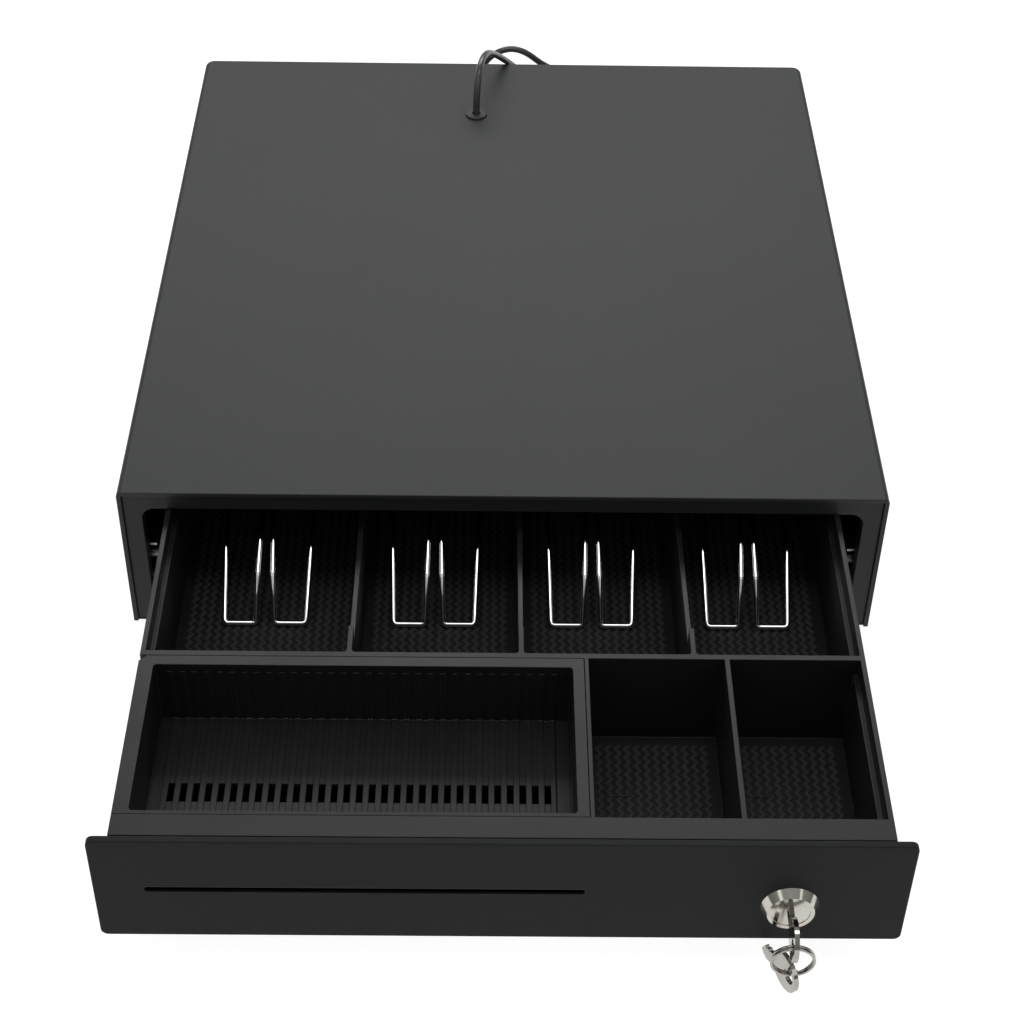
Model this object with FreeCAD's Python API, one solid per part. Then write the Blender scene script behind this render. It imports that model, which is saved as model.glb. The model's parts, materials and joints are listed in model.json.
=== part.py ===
import FreeCAD, Part
import math
import os

from FreeCAD import Rotation, Vector

# A compact point-of-sale cash drawer: a steel housing, a drawer on rollers with a plastic till tray,
# a lift-out coin box, four spring note clips, a key lock in the front panel and a solenoid latch behind.
# Lengths are in millimetres. Shapes are modelled in the housing's frame: x to the right, y to the back
# from the housing's front edge, z up from the counter. Drawer pieces are modelled with the front panel's
# face at y = 0, as when the drawer is shut, and are then moved out to the resting opening.

# Housing
HOUSING_WIDTH = 335.0
HOUSING_DEPTH = 370.0
SHEET_HEIGHT = 77.5
SHEET = 1.0
FOOT_HEIGHT = 3.0
FOOT_RADIUS = 8.0
HOUSING_TOP = FOOT_HEIGHT + SHEET_HEIGHT
REAR_CORNER = 5.0
TOP_BEND = 2.5
HEM_DEPTH = 8.0
FRAME_SHEET = 1.2
FRAME_INSET = 1.0
FRAME_FLANGE = 10.0
FRAME_RETURN = 8.0
OPENING_HALF_WIDTH = HOUSING_WIDTH / 2 - FRAME_FLANGE
OPENING_TOP = HOUSING_TOP - 9.7
OPENING_BOTTOM = 11.5
OPENING_CORNER = 6.0

# Drawer
REST_OPENING = 182.5
PANEL_WIDTH = 310.0
PANEL_HEIGHT = 56.3
PANEL_BOTTOM = 13.4
PANEL_DEPTH = 2.8
PANEL_SKIN = 1.2
PANEL_CORNER = 3.0
PAN_SHEET = 1.0
PAN_HALF_WIDTH = 146.2
PAN_BOTTOM = 14.8
PAN_TOP = 60.0
PAN_REAR = 270.0

# Media slot and lock in the front panel
SLOT_LEFT = -135.6
SLOT_RIGHT = 31.4
SLOT_HEIGHT = 3.2
SLOT_Z = PANEL_BOTTOM + PANEL_HEIGHT / 2
LOCK_X = 110.0
LOCK_Z = PANEL_BOTTOM + 20.4

# Till tray
TRAY_HALF_WIDTH = 146.75
TRAY_TOP = 70.0
TRAY_WALL = 2.0
TRAY_FLOOR = 23.0
TRAY_REAR = 262.0
LEDGE_FRONT = PANEL_DEPTH + 0.3
LEDGE_REAR = 13.0
LEDGE_THICKNESS = 2.0
ROW_WALL_FRONT = 95.9
ROW_WALL_REAR = 98.5
BAY_RIGHT = 32.8
BIN_DIVIDER_X = 90.6
NOTE_DIVIDERS = (-62.5, 7.3, 77.3)
DIVIDER_THICKNESS = 2.0
DIVIDER_STEP = 15.0

# Coin box
BOX_LEFT = -TRAY_HALF_WIDTH
BOX_RIGHT = BAY_RIGHT - 0.3
BOX_FRONT = LEDGE_REAR + 0.3
BOX_RIM = 2.0
BOX_FLOOR = 38.0
BOX_INNER_LEFT = -140.6
BOX_INNER_RIGHT = 28.0
BOX_INNER_FRONT = BOX_FRONT + 1.6
BOX_INNER_REAR = 90.7
COIN_SLOTS = 31
COIN_SLOT_PITCH = 5.0
COIN_SLOT_WIDTH = 2.6
COIN_SLOT_FRONT = 46.3
COIN_SLOT_REAR = 55.7
COIN_SLOTS_LEFT = -133.2

# Note clips
CLIP_X = (-104.5, -30.1, 39.4, 108.4)
CLIP_WIRE = 1.25
CLIP_BAR_Y = 160.0
CLIP_BAR_Z = TRAY_FLOOR + CLIP_WIRE + 0.4
CLIP_KNEE_Y = 194.0
CLIP_OUTER_KNEE_Z = 44.0
CLIP_INNER_RISE_Y = 172.6
CLIP_INNER_RISE_Z = 42.5
CLIP_INNER_KNEE_Z = 53.5
CLIP_PIVOT_Y = 244.0
CLIP_PIVOT_Z = 61.0
CLIP_HALF_WIDTH = 17.85
CLIP_INNER_GAP = 5.8
CLIP_SPREAD = 2.9
CLIP_COIL_RADIUS = 3.2
CLIP_COIL_LENGTH = 6.2
CLIP_BEND = 3.6
CLIP_ROD = 1.8
CLIP_EAR_X = 27.6
CLIP_EAR_SHEET = 1.2

# Rollers and runners
ROLLER_RADIUS = 8.5
ROLLER_Z = 32.5
ROLLER_BORE = 2.55
STUD_RADIUS = 2.5
FRONT_ROLLER_Y = 15.0
REAR_ROLLER_Y = 262.0
FRONT_ROLLER_INNER_X = 148.2
FRONT_ROLLER_OUTER_X = 153.8
REAR_ROLLER_INNER_X = 156.2
REAR_ROLLER_OUTER_X = 163.0
RUNNER_SHEET = 1.2
RUNNER_FRONT = 9.5
RUNNER_REAR = 356.0
RUNNER_OUTER_X = HOUSING_WIDTH / 2 - SHEET
RUNNER_INNER_X = 154.5
RUNNER_GAP = 0.3
RAIL_OUTER_X = 150.9
RAIL_TOP = 42.5
PANEL_STUD_RADIUS = 2.0

# Lock and keys
BEZEL_BASE_RADIUS = 11.3
BEZEL_FACE_RADIUS = 9.15
BEZEL_DEPTH = 3.45
PLUG_RADIUS = 7.4
BARREL_RADIUS = 9.0
BARREL_DEPTH = 16.0
NUT_RADIUS = 12.6
CAM_FRONT = BARREL_DEPTH + 0.3
CAM_THICKNESS = 1.6
KEY_THICKNESS = 1.8
KEY_BOW_RADIUS = 8.5
KEY_BOW_REACH = 12.0
KEY_HOLE_RADIUS = 3.2
KEY_HOLE_OFFSET = 3.5
KEY_BLADE_HEIGHT = 6.0
KEY_TIP = 7.0
KEY_NOTCHES = 3
KEY_NOTCH_PITCH = 2.4
KEY_NOTCH_DEPTH = 1.0
RING_RADIUS = 8.1
RING_HALF_DEPTH = 1.3
RING_HALF_THICKNESS = 0.65
RING_DROP = 0.3
SPARE_HANG = 1.5
SPARE_BLADE = 20.0
SPARE_DIP = 17.0
SPARE_SWING = 24.0

# Latch mechanism behind the drawer
BASE_TOP = FOOT_HEIGHT + SHEET
LATCH_X = 2.0
LATCH_Y = 318.0
LATCH_Z = 21.0
LATCH_ARM = 22.0
LATCH_ARM_WIDTH = 8.0
LATCH_THICKNESS = 2.0
LATCH_PIN_RADIUS = 2.5
HOOK_TIP_X = -15.5
HOOK_FRONT = 283.0
HOOK_REAR = 289.0
STRIKE_TAB_Y = 294.6
PLUNGER_RADIUS = 4.5
COIL_LEFT = -60.5
COIL_RIGHT = -23.5
EJECTOR_X = 62.0
EJECTOR_Z = 26.0
SWITCH_X = 100.0
SWITCH_PIVOT_Y = 284.6
SWITCH_PIVOT_Z = 15.7

# Cover screws
COVER_SCREW_Z = 9.0
SIDE_SCREWS_Y = (70, 300)
REAR_SCREWS_X = (-110, 0, 110)
SCREW_HEAD = 1.3

# Holes in the base for bolting the drawer under or onto a counter
MOUNT_HOLE_RADIUS = 2.5
MOUNT_SPACING_X = 240.0
MOUNT_SPACING_Y = 230.0
MOUNT_MIDDLE_Y = 175.0

# Cable
CORD_DIAMETER = 3.6
GROMMET_X = -15.0
GROMMET_Y = 313.5
GROMMET_NECK = 5.0
GROMMET_BORE = CORD_DIAMETER / 2 + 0.5
COIL_X = 46.0
COIL_Y = 430.0
COIL_RADIUS = 21.0
COIL_HALF_SECTION = 5.6
CABLE_START_Z = 76.0
CABLE_ROUTE = [
    Vector(GROMMET_X, GROMMET_Y, CABLE_START_Z),
    Vector(GROMMET_X, GROMMET_Y, 86),
    Vector(-14, 319.5, 104),
    Vector(-10.5, 339, 104.5),
    Vector(-4.5, 358, 92.5),
    Vector(6, 379, 73),
    Vector(21, 389, 53),
    Vector(39, 396, 39),
    Vector(59, 400, 30.5),
    Vector(79, 401, 30),
    Vector(87, 401, 44),
    Vector(78, 401, 57),
    Vector(61, 401, 56.5),
    Vector(43, 400, 56),
    Vector(26, 397, 61),
    Vector(9, 394, 77),
    Vector(-6, 393, 74),
    Vector(-15, 395, 59),
    Vector(-22, 399, 38),
    Vector(-15, 403, 18),
    Vector(4, 407, 10),
    Vector(26, 409, 9.2),
    Vector(COIL_X, COIL_Y - COIL_RADIUS, 9.2),
]

# The origin is at the middle of the resting footprint, keys included, on the counter.
FRONT_REACH = BEZEL_DEPTH + KEY_BOW_REACH + KEY_BOW_RADIUS
ORIGIN_Y = (HOUSING_DEPTH + SCREW_HEAD - REST_OPENING - FRONT_REACH) / 2


def block(x0, x1, y0, y1, z0, z1):
    return Part.makeBox(x1 - x0, y1 - y0, z1 - z0, Vector(x0, y0, z0))


def rod(start, direction, radius, length):
    return Part.makeCylinder(radius, length, Vector(start), Vector(direction))


def joined(shapes):
    whole = shapes[0].multiFuse(shapes[1:]) if len(shapes) > 1 else shapes[0]
    return whole.removeSplitter()


def group(shapes):
    return Part.makeCompound(shapes)


def both_sides(shape):
    return shape.mirror(Vector(0, 0, 0), Vector(1, 0, 0))


def moved(shape, x=0.0, y=0.0, z=0.0):
    return shape.translated(Vector(x, y, z))


def turned(shape, centre, axis, degrees):
    copy = shape.copy()
    copy.rotate(Vector(centre), Vector(axis), degrees)
    return copy


def edges_along(shape, direction, test):
    """The straight edges that run along direction and whose middle passes the test."""
    found = []
    for edge in shape.Edges:
        if edge.Curve.TypeId == "Part::GeomLine":
            along = edge.tangentAt(edge.FirstParameter)
            if abs(abs(along.dot(direction)) - 1) < 1e-6 and test(edge.CenterOfMass):
                found.append(edge)
    return found


def rounded_plate(x0, x1, y0, y1, z0, z1, radius, axis):
    """A block with the four edges along one axis rounded."""
    plate = block(x0, x1, y0, y1, z0, z1)
    return plate.makeFillet(radius, edges_along(plate, axis, lambda middle: True))


def prism(points, direction):
    """A flat outline pushed along a vector."""
    outline = Part.makePolygon([*points, points[0]])
    return Part.Face(outline).extrude(direction)


def rounded_path(points, bend_radius):
    """Straight runs joined by tangent arcs; bend_radius gives an arc's radius from its runs and half turn."""
    edges = []
    start = points[0]
    for before, corner, after in zip(points, points[1:], points[2:]):
        incoming = (corner - before).normalize()
        outgoing = (after - corner).normalize()
        half_turn = incoming.getAngle(outgoing) / 2
        radius = bend_radius((corner - before).Length, (after - corner).Length, half_turn)
        reach = radius * math.tan(half_turn)
        first = corner - incoming * reach
        last = corner + outgoing * reach
        inward = (outgoing - incoming).normalize()
        middle = corner + inward * (radius / math.cos(half_turn) - radius)
        edges.append(Part.LineSegment(start, first).toShape())
        edges.append(Part.Arc(first, middle, last).toShape())
        start = last
    edges.append(Part.LineSegment(start, points[-1]).toShape())
    return Part.Wire(edges)


def tube(path, radius):
    """A round bar of constant radius along a path."""
    first = path.OrderedEdges[0]
    start = first.valueAt(first.FirstParameter)
    along = first.tangentAt(first.FirstParameter)
    profile = Part.Wire(Part.makeCircle(radius, start, along))
    return path.makePipeShell([profile], True, False)


def widest_bend(before, after, half_turn):
    """The radius of the widest arc that leaves room for the next one on both of its runs."""
    return 0.45 * min(before, after) / math.tan(half_turn)


def bent_wire(points, radius, largest_bend):
    """A stiff wire whose bends all have one radius, except where a run is too short for it."""
    def bend(before, after, half_turn):
        return min(largest_bend, widest_bend(before, after, half_turn))

    return tube(rounded_path(points, bend), radius)


def coil_spring(start, direction, coil_radius, wire_radius, length, turns):
    """A helical spring that begins at start and runs along direction."""
    pitch = length / turns
    path = Part.makeHelix(pitch, length, coil_radius)
    tangent = Vector(0, 2 * math.pi * coil_radius, pitch)
    profile = Part.Wire(Part.makeCircle(wire_radius, Vector(coil_radius, 0, 0), tangent))
    spring = Part.Wire(path.Edges).makePipeShell([profile], True, True)
    spring.Placement = FreeCAD.Placement(Vector(start), Rotation(Vector(0, 0, 1), Vector(direction)))
    return spring


# ---------------------------------------------------------------- housing


def housing_shell(grow, low):
    """The housing's outline as a solid, drawn in by grow, from a height upwards."""
    half = HOUSING_WIDTH / 2 - grow
    rear = HOUSING_DEPTH - grow
    shell = block(-half, half, -grow * 2, rear, low, HOUSING_TOP - grow)
    rear_edges = edges_along(shell, Vector(0, 0, 1), lambda middle: middle.y > rear - 1)
    shell = shell.makeFillet(REAR_CORNER - grow, rear_edges)
    high = HOUSING_TOP - grow - 0.01
    top_edges = [e for e in shell.Edges if e.BoundBox.ZMin > high and e.CenterOfMass.y > 0]
    return shell.makeFillet(TOP_BEND - grow, top_edges)


def housing_cover():
    """Top, sides and back in one folded sheet, with a folded-over hem along its front edge."""
    outer = housing_shell(0, FOOT_HEIGHT)
    inner = housing_shell(SHEET, 0)
    half = HOUSING_WIDTH / 2
    hem = outer.common(block(-half, half, 0, HEM_DEPTH, 0, HOUSING_TOP))
    hem = hem.cut(housing_shell(SHEET * 2, 0))
    cover = outer.cut(inner).fuse(hem)
    cable_hole = rod((GROMMET_X, GROMMET_Y, HOUSING_TOP - 5), (0, 0, 1), GROMMET_NECK, 10)
    return cover.cut(cable_hole).removeSplitter()


def opening_solid(y0, y1, grow):
    """The drawer opening as a solid with rounded corners."""
    half = OPENING_HALF_WIDTH + grow
    radius = OPENING_CORNER + grow
    bottom = OPENING_BOTTOM - grow
    return rounded_plate(-half, half, y0, y1, bottom, OPENING_TOP + grow, radius, Vector(0, 1, 0))


def front_frame():
    """The frame round the opening, set just inside the cover's edge, with its lip turned back."""
    half = HOUSING_WIDTH / 2 - SHEET * 2 - 0.2
    top = HOUSING_TOP - SHEET * 2 - 0.2
    face = block(-half, half, FRAME_INSET, FRAME_INSET + FRAME_SHEET, FOOT_HEIGHT + 1.4, top)
    lip = opening_solid(FRAME_INSET, FRAME_INSET + FRAME_RETURN, FRAME_SHEET)
    return joined([face, lip]).cut(opening_solid(-1, FRAME_RETURN + 5, 0))


def base_pan():
    """The bottom sheet with its edges turned up inside the cover, and four holes to bolt it to a counter."""
    half = HOUSING_WIDTH / 2 - SHEET
    rear = HOUSING_DEPTH - SHEET
    flange = 11.0
    pan = block(-half, half, FRAME_INSET, rear, FOOT_HEIGHT, FOOT_HEIGHT + flange)
    rear_edges = edges_along(pan, Vector(0, 0, 1), lambda middle: middle.y > rear - 1)
    pan = pan.makeFillet(REAR_CORNER - SHEET, rear_edges)
    hollow = block(-half + SHEET, half - SHEET, -5, rear - SHEET, BASE_TOP, FOOT_HEIGHT + flange + 5)
    pan = pan.cut(hollow)
    # the sides stop short of the front frame, and the pan's front end fits inside the cover's hem
    pan = pan.cut(block(-half - 1, half + 1, 0, FRAME_INSET + FRAME_SHEET + 0.4, FOOT_HEIGHT + SHEET, 40))
    for side in (-1, 1):
        x0, x1 = sorted((side * (half - SHEET), side * (half + 1)))
        pan = pan.cut(block(x0, x1, 0, HEM_DEPTH, 0, 40))
    holes = [rod((x, y, 0), (0, 0, 1), MOUNT_HOLE_RADIUS, 12) for x, y in mount_places()]
    return pan.cut(group(holes))


def mount_places():
    return [
        (x, MOUNT_MIDDLE_Y + y)
        for x in (-MOUNT_SPACING_X / 2, MOUNT_SPACING_X / 2)
        for y in (-MOUNT_SPACING_Y / 2, MOUNT_SPACING_Y / 2)
    ]


def rubber_feet():
    feet = []
    for x in (-145, 145):
        for y in (28, 342):
            foot = Part.makeCone(FOOT_RADIUS - 1, FOOT_RADIUS, FOOT_HEIGHT, Vector(x, y, 0))
            feet.append(foot)
    return group(feet)


def pan_head_screw(head, direction, head_radius, shank_radius, length):
    """A domed head standing on a surface, with its shank going in along direction."""
    axis = Vector(direction).normalize()
    dome = Part.makeCone(head_radius, head_radius * 0.7, SCREW_HEAD, Vector(head), axis * -1)
    shank = rod(head, axis, shank_radius, length)
    drive = Part.makeBox(0.7, head_radius * 1.3, 0.9, Vector(-0.35, -head_radius * 0.65, 0))
    drive = drive.fuse(turned(drive, (0, 0, 0), (0, 0, 1), 90))
    drive.Placement = FreeCAD.Placement(Vector(head) - axis * 1.4, Rotation(Vector(0, 0, 1), axis))
    return dome.fuse(shank).cut(drive)


def cover_screws():
    half = HOUSING_WIDTH / 2
    screws = []
    for y in SIDE_SCREWS_Y:
        left = pan_head_screw((-half, y, COVER_SCREW_Z), (1, 0, 0), 3.2, 1.6, 5)
        screws += [left, both_sides(left)]
    for x in REAR_SCREWS_X:
        screws.append(pan_head_screw((x, HOUSING_DEPTH, COVER_SCREW_Z), (0, -1, 0), 3.2, 1.6, 5))
    return group(screws)


def screw_clearance(shape):
    """The same piece with holes for the cover screws' shanks."""
    half = HOUSING_WIDTH / 2
    holes = []
    for y in SIDE_SCREWS_Y:
        holes.append(rod((-half - 2, y, COVER_SCREW_Z), (1, 0, 0), 1.65, 2 * half + 4))
    for x in REAR_SCREWS_X:
        holes.append(rod((x, HOUSING_DEPTH - 10, COVER_SCREW_Z), (0, 1, 0), 1.65, 20))
    return shape.cut(group(holes))


def left_runner():
    """A steel channel on the housing's side wall that the drawer's rear roller runs in."""
    half_height = ROLLER_RADIUS + RUNNER_GAP
    outer = block(-RUNNER_OUTER_X, -RUNNER_INNER_X, RUNNER_FRONT, RUNNER_REAR,
                  ROLLER_Z - half_height - RUNNER_SHEET, ROLLER_Z + half_height + RUNNER_SHEET)
    inner = block(-RUNNER_OUTER_X + RUNNER_SHEET, 0, RUNNER_FRONT - 1, RUNNER_REAR + 1,
                  ROLLER_Z - half_height, ROLLER_Z + half_height)
    # the stud of the front roller is riveted into the web
    return outer.cut(inner).cut(rod((-200, FRONT_ROLLER_Y, ROLLER_Z), (1, 0, 0), STUD_RADIUS, 60))


def front_stud():
    stud = rod((-RUNNER_OUTER_X, FRONT_ROLLER_Y, ROLLER_Z), (1, 0, 0), STUD_RADIUS, RUNNER_OUTER_X - 147.4)
    collar = rod((-154.4, FRONT_ROLLER_Y, ROLLER_Z), (1, 0, 0), 4.0, 0.4)
    head = rod((-148.0, FRONT_ROLLER_Y, ROLLER_Z), (1, 0, 0), 4.0, 0.6)
    return joined([stud, collar, head])


def rear_stud():
    outer = REAR_ROLLER_OUTER_X + 0.9
    stud = rod((-outer, REAR_ROLLER_Y, ROLLER_Z), (1, 0, 0), STUD_RADIUS, outer - PAN_HALF_WIDTH + PAN_SHEET)
    collar = rod((-155.9, REAR_ROLLER_Y, ROLLER_Z), (1, 0, 0), 4.0, 155.9 - PAN_HALF_WIDTH)
    head = rod((-outer, REAR_ROLLER_Y, ROLLER_Z), (1, 0, 0), 4.0, 0.7)
    return joined([stud, collar, head])


def roller(inner_x, outer_x, y):
    """A roller on the left side, with a rounded tread and a groove round its hub."""
    width = outer_x - inner_x
    tread = rod((-outer_x, y, ROLLER_Z), (1, 0, 0), ROLLER_RADIUS, width)
    tread = tread.makeFillet(0.7, [e for e in tread.Edges if e.Curve.TypeId == "Part::GeomCircle"])
    bore = rod((-outer_x - 1, y, ROLLER_Z), (1, 0, 0), ROLLER_BORE, width + 2)
    groove = rod((-outer_x - 1, y, ROLLER_Z), (1, 0, 0), 6.2, 1.4)
    groove = groove.cut(rod((-outer_x - 1, y, ROLLER_Z), (1, 0, 0), 4.6, 1.4))
    return tread.cut(bore).cut(groove)


# ---------------------------------------------------------------- drawer


def drawer_pan():
    """The steel drawer: bottom, sides, rear and a front wall that nests inside the panel's rim."""
    sheet = PAN_SHEET
    half = PAN_HALF_WIDTH
    front = PANEL_SKIN
    outer = block(-half, half, front, PAN_REAR, PAN_BOTTOM, PAN_TOP)
    bottom = PAN_BOTTOM + sheet
    hollow = block(-half + sheet, half - sheet, front + sheet, PAN_REAR - sheet, bottom, PAN_TOP + 1)
    pan = outer.cut(hollow)
    slot = block(SLOT_LEFT - 2, SLOT_RIGHT + 2, 0, PANEL_DEPTH + 2, SLOT_Z - 3, SLOT_Z + 3)
    lock_hole = rod((LOCK_X, 0, LOCK_Z), (0, 1, 0), BARREL_RADIUS, 6)
    studs = [rod((side * -1, REAR_ROLLER_Y, ROLLER_Z), (side, 0, 0), STUD_RADIUS, 170) for side in (-1, 1)]
    nuts = [rod((x, 0, z), (0, 1, 0), PANEL_STUD_RADIUS, 6) for x, z in panel_stud_places()]
    return pan.cut(group([slot, lock_hole] + studs + nuts))


def panel_stud_places():
    return [(x, z) for x in (-138, 138) for z in (24, 54)]


def front_panel():
    """A folded steel front: a skin with a narrow rim, a slot for slips and the lock hole."""
    half = PANEL_WIDTH / 2
    top = PANEL_BOTTOM + PANEL_HEIGHT
    plate = rounded_plate(-half, half, 0, PANEL_DEPTH, PANEL_BOTTOM, top, PANEL_CORNER, Vector(0, 1, 0))
    front_edges = [e for e in plate.Edges if e.BoundBox.YMax < 0.01]
    plate = plate.makeFillet(0.6, front_edges)
    rim = PANEL_SKIN
    inner = half - rim
    behind = PANEL_DEPTH + 1
    across = Vector(0, 1, 0)
    low = PANEL_BOTTOM + rim
    corner = PANEL_CORNER - rim
    hollow = rounded_plate(-inner, inner, PANEL_SKIN, behind, low, top - rim, corner, across)
    reach = SLOT_HEIGHT / 2
    slot = rounded_plate(SLOT_LEFT, SLOT_RIGHT, -1, behind, SLOT_Z - reach, SLOT_Z + reach, reach - 0.1, across)
    lock_hole = rod((LOCK_X, -1, LOCK_Z), (0, 1, 0), BARREL_RADIUS, 6)
    studs = [rod((x, PANEL_SKIN, z), (0, 1, 0), PANEL_STUD_RADIUS, 6.3) for x, z in panel_stud_places()]
    return joined([plate.cut(hollow).cut(slot).cut(lock_hole)] + studs)


def panel_nuts():
    """Four hexagon nuts on the panel's weld studs, behind the drawer's front wall."""
    nuts = []
    for x, z in panel_stud_places():
        front = PANEL_SKIN + PAN_SHEET
        corners = [
            Vector(x + 4 * math.cos(math.radians(60 * i)), front, z + 4 * math.sin(math.radians(60 * i)))
            for i in range(6)
        ]
        nut = prism(corners, Vector(0, 3.2, 0))
        nuts.append(nut.cut(rod((x, 0, z), (0, 1, 0), PANEL_STUD_RADIUS, 10)))
    return group(nuts)


def left_drawer_rail():
    """The steel angle along the drawer's side whose flange rides on the front roller."""
    web = block(-PAN_HALF_WIDTH - 1.1, -PAN_HALF_WIDTH, 14, 266, 37, RAIL_TOP)
    flange = block(-RAIL_OUTER_X, -PAN_HALF_WIDTH, 14, 266, ROLLER_Z + ROLLER_RADIUS + RUNNER_GAP, RAIL_TOP)
    return joined([web, flange])


def drawer_strike():
    """A bent tab on the drawer's rear that the latch hooks behind."""
    plate = block(-34, -12, PAN_REAR, PAN_REAR + 1.2, 16.5, 36)
    arm = block(-30, HOOK_TIP_X - 0.7, PAN_REAR, STRIKE_TAB_Y + 1.2, 16.5, 17.7)
    tab = block(-30, HOOK_TIP_X - 0.7, STRIKE_TAB_Y, STRIKE_TAB_Y + 1.2, 16.5, 27)
    return joined([plate, arm, tab])


def tray_bay(x0, x1, y0, y1, floor):
    """The space inside one compartment, rounded where its walls meet the floor."""
    space = block(x0, x1, y0, y1, floor, TRAY_TOP + 1)
    floor_edges = [e for e in space.Edges if abs(e.CenterOfMass.z - floor) < 0.01]
    upright = edges_along(space, Vector(0, 0, 1), lambda middle: True)
    return space.makeFillet(1.5, floor_edges + upright)


def scooped_bay(x0, x1, y0, y1, floor):
    """A coin bin with its front wall sloped back towards the floor."""
    run = 22.0
    side = [
        Vector(x0, y0, TRAY_TOP + 1), Vector(x0, y0, TRAY_TOP - 2), Vector(x0, y0 + run, floor),
        Vector(x0, y1, floor), Vector(x0, y1, TRAY_TOP + 1),
    ]
    return prism(side, Vector(x1 - x0, 0, 0))


def till_tray():
    """The plastic insert: a front ledge, a bay for the coin box, two coin bins and four note bays."""
    wall = TRAY_WALL
    lower_half = PAN_HALF_WIDTH - PAN_SHEET - 0.3
    front = LEDGE_REAR - wall
    under = TRAY_FLOOR - wall
    lower = block(-lower_half, lower_half, front, TRAY_REAR, under, PAN_TOP + 0.3)
    upper = block(-TRAY_HALF_WIDTH, TRAY_HALF_WIDTH, front, TRAY_REAR, PAN_TOP + 0.3, TRAY_TOP)
    low = TRAY_TOP - LEDGE_THICKNESS
    ledge = block(-TRAY_HALF_WIDTH, TRAY_HALF_WIDTH, LEDGE_FRONT, LEDGE_REAR, low, TRAY_TOP)
    lip = block(-TRAY_HALF_WIDTH, TRAY_HALF_WIDTH, LEDGE_FRONT, LEDGE_FRONT + 1.5, TRAY_TOP - 5, TRAY_TOP)
    tray = joined([lower, upper, ledge, lip])
    half = TRAY_HALF_WIDTH - wall
    inner_half = lower_half - wall
    # the coin box bay has no front wall under the ledge, so that slips can drop in behind the media slot,
    # and no left wall above the drawer's side, because the box's rim covers it
    bay = block(-inner_half, BAY_RIGHT, front - 1, ROW_WALL_FRONT, TRAY_FLOOR, low)
    bay_top = block(-TRAY_HALF_WIDTH - 1, BAY_RIGHT, LEDGE_REAR, ROW_WALL_FRONT, PAN_TOP + 0.3, TRAY_TOP + 1)
    first_bin = scooped_bay(BAY_RIGHT + 1.6, BIN_DIVIDER_X - wall / 2, LEDGE_REAR, ROW_WALL_FRONT, TRAY_FLOOR)
    second_bin = scooped_bay(BIN_DIVIDER_X + wall / 2, inner_half, LEDGE_REAR, ROW_WALL_FRONT, TRAY_FLOOR)
    bin_top = block(inner_half - 1, half, LEDGE_REAR, ROW_WALL_FRONT, PAN_TOP + 1, TRAY_TOP + 1)
    under_scoop = prism([
        Vector(BAY_RIGHT + 1.6, front - 1, under - 1), Vector(BAY_RIGHT + 1.6, front - 1, TRAY_TOP - 6),
        Vector(BAY_RIGHT + 1.6, front, TRAY_TOP - 6), Vector(BAY_RIGHT + 1.6, front + 22, under),
        Vector(BAY_RIGHT + 1.6, front + 22, under - 1),
    ], Vector(lower_half * 2, 0, 0))
    tray = tray.cut(group([bay, bay_top])).cut(first_bin).cut(second_bin).cut(bin_top).cut(under_scoop)
    walls = [-inner_half, *NOTE_DIVIDERS, inner_half]
    for index, (left, right) in enumerate(zip(walls, walls[1:])):
        x0 = left if index == 0 else left + DIVIDER_THICKNESS / 2
        x1 = right if index == len(NOTE_DIVIDERS) else right - DIVIDER_THICKNESS / 2
        tray = tray.cut(tray_bay(x0, x1, ROW_WALL_REAR, TRAY_REAR - wall, TRAY_FLOOR))
    for side in (-1, 1):
        edge = sorted((side * (inner_half - 1), side * half))
        tray = tray.cut(block(*edge, ROW_WALL_REAR, TRAY_REAR - wall, PAN_TOP + 1, TRAY_TOP + 1))
    return tray.cut(divider_drop())


def divider_drop():
    """What is taken off the note dividers behind their tall front ends."""
    y0 = ROW_WALL_REAR + DIVIDER_STEP
    y1 = TRAY_REAR - TRAY_WALL
    outline = [
        Vector(NOTE_DIVIDERS[0] - 2, y0, TRAY_TOP + 1), Vector(NOTE_DIVIDERS[0] - 2, y0, TRAY_TOP - 8),
        Vector(NOTE_DIVIDERS[0] - 2, y1, TRAY_TOP - 15), Vector(NOTE_DIVIDERS[0] - 2, y1, TRAY_TOP + 1),
    ]
    return prism(outline, Vector(NOTE_DIVIDERS[-1] - NOTE_DIVIDERS[0] + 4, 0, 0))


def coin_box():
    """A lift-out tray that holds coins on edge, with a slotted floor and a broad rim."""
    body = block(BOX_INNER_LEFT - 1.8, BOX_INNER_RIGHT + 1.8, BOX_FRONT, BOX_INNER_REAR + 1.8,
                 BOX_FLOOR - BOX_RIM, TRAY_TOP)
    rim = block(BOX_LEFT, BOX_RIGHT, BOX_FRONT, ROW_WALL_FRONT - 0.3, TRAY_TOP - BOX_RIM, TRAY_TOP)
    corner = edges_along(rim, Vector(0, 0, 1), lambda middle: middle.x < 0 and middle.y > 50)
    rim = rim.makeChamfer(3, corner)
    box = joined([body, rim])
    box = joined([box, moved(rim, 0, 0, -BOX_RIM * 2)])
    front, rear = BOX_INNER_FRONT, BOX_INNER_REAR
    hollow = block(BOX_INNER_LEFT, BOX_INNER_RIGHT, front, rear, BOX_FLOOR, TRAY_TOP + 1)
    hollow = hollow.makeFillet(1.5, edges_along(hollow, Vector(0, 0, 1), lambda middle: True))
    slots = []
    for index in range(COIN_SLOTS):
        x = COIN_SLOTS_LEFT + index * COIN_SLOT_PITCH
        right = x + COIN_SLOT_WIDTH
        slots.append(block(x, right, COIN_SLOT_FRONT, COIN_SLOT_REAR, BOX_FLOOR - 3, BOX_FLOOR + 1))
    return box.cut(hollow).cut(group(slots))


# ---------------------------------------------------------------- note clips


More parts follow.
